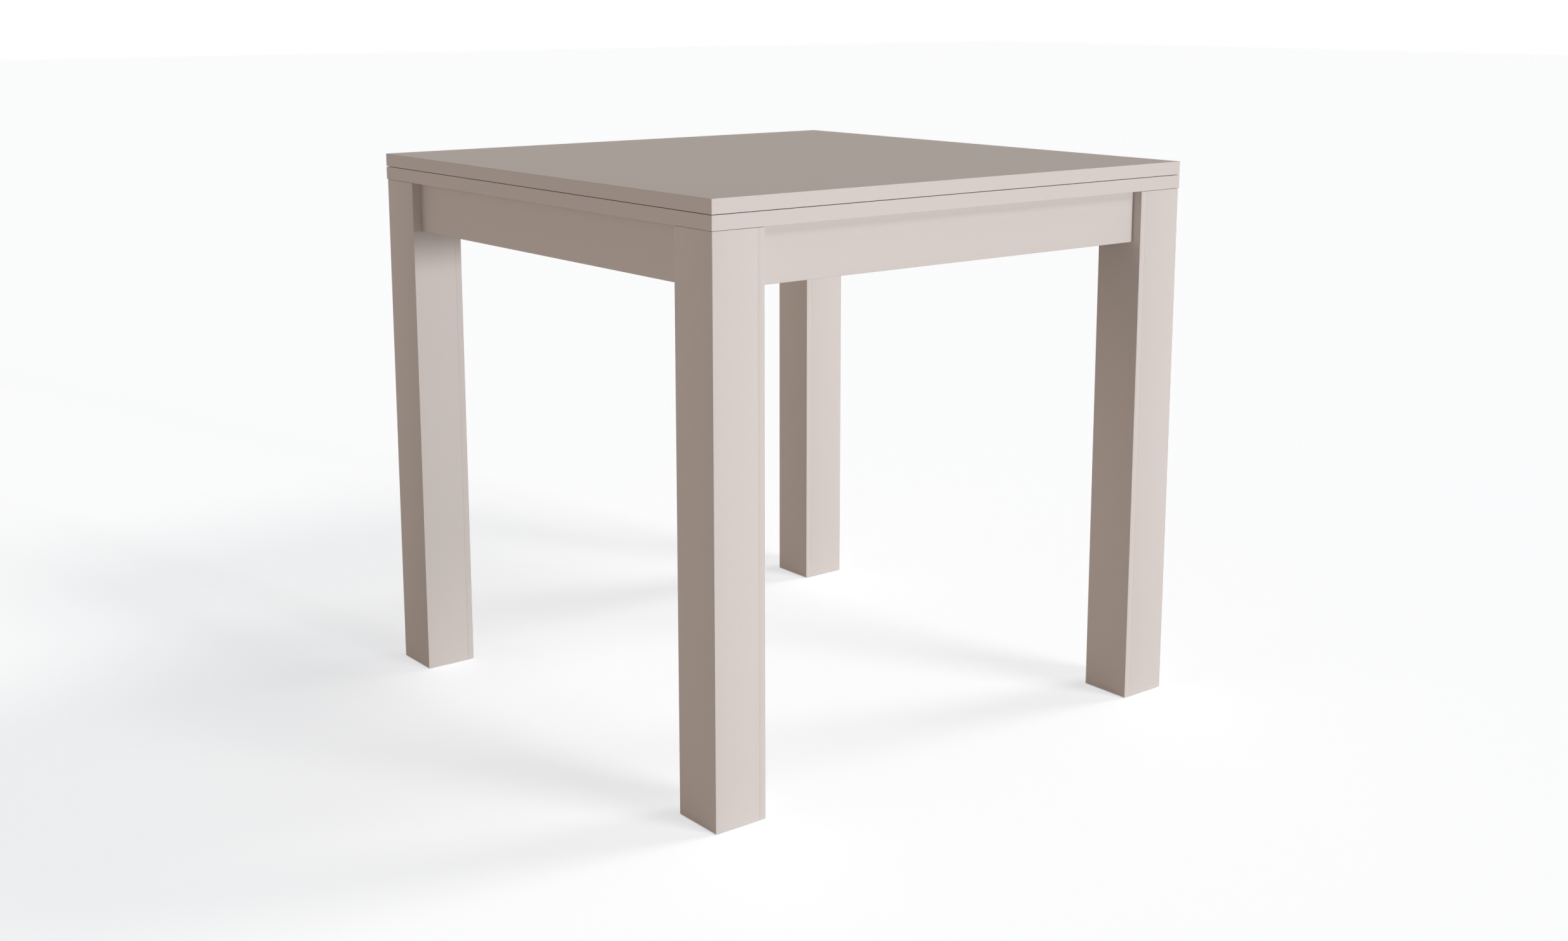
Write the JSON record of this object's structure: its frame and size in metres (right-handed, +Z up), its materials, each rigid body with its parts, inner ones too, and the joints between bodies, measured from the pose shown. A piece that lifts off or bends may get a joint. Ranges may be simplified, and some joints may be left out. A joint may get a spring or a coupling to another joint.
{
  "type": "swivel extending table",
  "caption": "Square table on four square legs. Its doubled top swivels a quarter turn and its upper leaf folds over to double the length.",
  "frame": {"origin": "on the floor, under the middle of the closed table", "axes": "+Z up; -Y is the front; the fold hinges are on the back (+Y) edge when the table is closed; the swivel pivot is at the quarter point towards +X and +Y"},
  "size_m": [0.8, 0.8, 0.7623],
  "materials": {
    "leaf_board": "matt melamine-faced chipboard, warm grey beige",
    "edging": "matt edging strip in the board's colour",
    "leg_board": "matt faced board, warm grey beige",
    "apron_board": "matt faced board, warm grey beige",
    "rail_board": "raw chipboard",
    "block_wood": "planed softwood and beech",
    "nylon": "natural nylon",
    "hinge_zinc": "nickel-plated die-cast zinc, satin",
    "brass_insert": "turned brass",
    "zinc_steel": "bright zinc-plated steel"
  },
  "bodies": {
    "frame": {"apron_dowels": "block_wood", "back_apron": "apron_board", "bracket_screws": "zinc_steel", "corner_bracket_back_left": "zinc_steel", "corner_bracket_back_right": "zinc_steel", "corner_bracket_front_left": "zinc_steel", "corner_bracket_front_right": "zinc_steel", "cross_rail": "rail_board", "frame_buttons": "nylon", "front_apron": "apron_board", "glide_inserts": "brass_insert", "left_apron": "apron_board", "leg_bolt_nuts": "zinc_steel", "leg_bolt_washers": "zinc_steel", "leg_bolts": "zinc_steel", "leg_casing_back_left": "leg_board", "leg_casing_back_right": "leg_board", "leg_casing_front_left": "leg_board", "leg_casing_front_right": "leg_board", "leg_closing_board_back_left": "leg_board", "leg_closing_board_back_right": "leg_board", "leg_closing_board_front_left": "leg_board", "leg_closing_board_front_right": "leg_board", "leg_foot_block_back_left": "block_wood", "leg_foot_block_back_right": "block_wood", "leg_foot_block_front_left": "block_wood", "leg_foot_block_front_right": "block_wood", "leg_glides": "nylon", "leg_top_block_back_left": "block_wood", "leg_top_block_back_right": "block_wood", "leg_top_block_front_left": "block_wood", "leg_top_block_front_right": "block_wood", "lower_plate_screws": "zinc_steel", "pivot_rail": "rail_board", "pivot_wear_washer": "nylon", "rail_angle_screws": "zinc_steel", "rail_angles": "zinc_steel", "right_apron": "apron_board", "swivel_disc": "nylon", "swivel_lower_plate": "zinc_steel"},
    "lower_top": {"lower_leaf": "leaf_board", "lower_leaf_edging": "edging", "swivel_upper_plate": "zinc_steel", "upper_plate_screws": "zinc_steel", "stop_stud": "zinc_steel", "pivot_bolt": "zinc_steel", "pivot_washer": "zinc_steel", "pivot_spring": "zinc_steel", "pivot_lock_nut": "zinc_steel", "lower_hinge_bodies": "hinge_zinc", "lower_hinge_pins": "zinc_steel", "lower_hinge_screws": "zinc_steel"},
    "fold_links": {"hinge_links": "zinc_steel"},
    "upper_top": {"upper_leaf": "leaf_board", "upper_leaf_edging": "edging", "upper_hinge_bodies": "hinge_zinc", "upper_hinge_pins": "zinc_steel", "upper_hinge_screws": "zinc_steel"}
  },
  "joints": [
    {"name": "top_swivel", "type": "hinge", "parent": "frame", "child": "lower_top", "pos_m": [0.2, 0.2, 0.7205], "axis": [0, 0, 1], "range_deg": [0, 90]},
    {"name": "link_turn", "type": "hinge", "parent": "lower_top", "child": "fold_links", "pos_m": [0, 0.3974, 0.7409], "axis": [-1, 0, 0], "range_deg": [0, 90]},
    {"name": "leaf_turn", "type": "hinge", "parent": "fold_links", "child": "upper_top", "pos_m": [0, 0.3974, 0.7469], "axis": [-1, 0, 0], "range_deg": [0, 90]}
  ]
}
